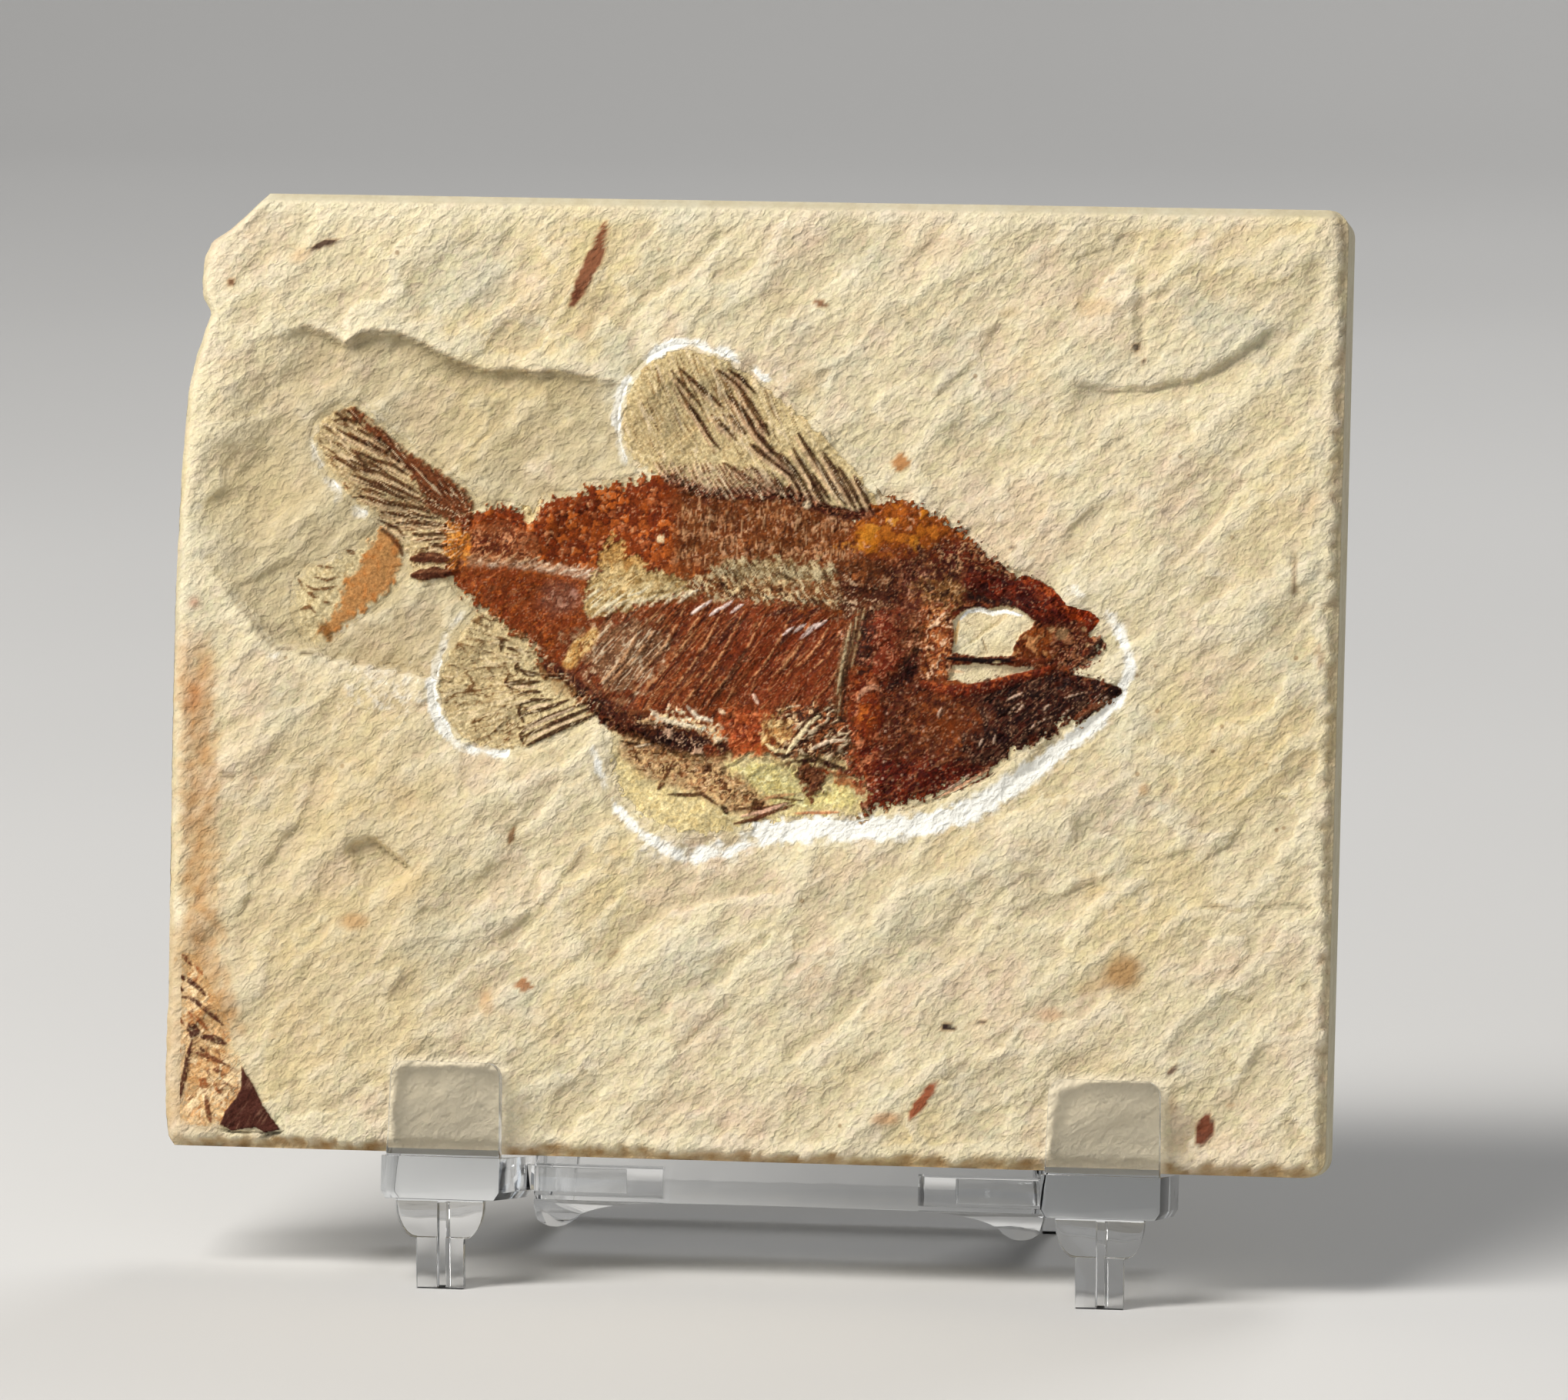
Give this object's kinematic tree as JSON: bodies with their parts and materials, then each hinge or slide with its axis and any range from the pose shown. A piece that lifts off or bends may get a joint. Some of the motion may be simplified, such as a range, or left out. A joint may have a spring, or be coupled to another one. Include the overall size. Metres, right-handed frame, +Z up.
{
  "type": "fossil fish slab",
  "caption": "Pale limestone slab with a fossil fish in shallow relief, leaning on a small clear plastic display easel with two front arms and a back rest.",
  "frame": {"origin": "middle of the object's footprint box at table level", "axes": "+X to the right along the slab's width, +Y from the fossil's face towards the back of the easel, +Z up"},
  "size_m": [0.1105, 0.0336, 0.1005],
  "materials": {
    "limestone": "matt, finely grained, sawn sides and a split, lightly chipped face",
    "fossil_bone": "rust-brown mineralised bone with ochre and olive patches, satin",
    "dark_scale": "purple-brown mineralised bone, satin",
    "clear_plastic": "clear moulded plastic, glossy, very slightly smoky"
  },
  "bodies": {
    "root": {"slab": "limestone", "fossil_fish": "fossil_bone", "fossil_fragment": "dark_scale", "left_arm": "clear_plastic", "right_arm": "clear_plastic", "back_frame": "clear_plastic"}
  },
  "joints": []
}
